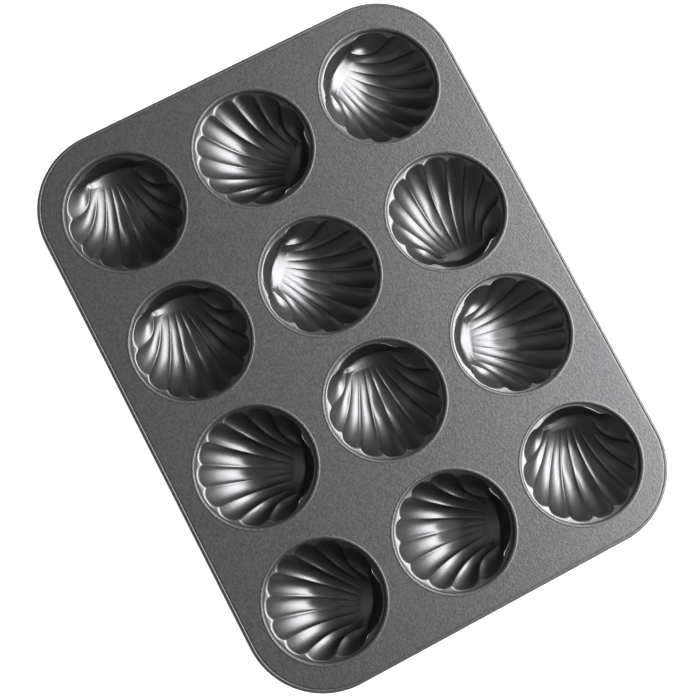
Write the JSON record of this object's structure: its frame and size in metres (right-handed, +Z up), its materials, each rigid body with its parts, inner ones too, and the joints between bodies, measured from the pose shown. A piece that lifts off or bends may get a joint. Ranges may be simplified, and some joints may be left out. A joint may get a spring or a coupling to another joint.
{
  "type": "shell muffin pan",
  "caption": "Rectangular steel baking pan with rounded corners, a wired rolled rim and scallop-shell cups seamed into round holes in its flat deck.",
  "frame": {"origin": "centre of the pan, on the surface that its cups stand on", "axes": "+X along the pan's long side, +Y across it, +Z up out of the cups"},
  "size_m": [0.355, 0.267, 0.024],
  "materials": {
    "deck_coating": "grey metallic non-stick coating with a fine sparkle, satin",
    "shell_coating": "dark grey non-stick coating, semi-gloss",
    "wire_steel": "drawn steel wire"
  },
  "bodies": {
    "root": {"deck_sheet": "deck_coating", "rim_wire": "wire_steel", "shell_cup_a1": "shell_coating", "shell_cup_b1": "shell_coating", "shell_cup_c1": "shell_coating", "shell_cup_a2": "shell_coating", "shell_cup_b2": "shell_coating", "shell_cup_c2": "shell_coating", "shell_cup_a3": "shell_coating", "shell_cup_b3": "shell_coating", "shell_cup_c3": "shell_coating", "shell_cup_a4": "shell_coating", "shell_cup_b4": "shell_coating", "shell_cup_c4": "shell_coating"}
  },
  "joints": []
}
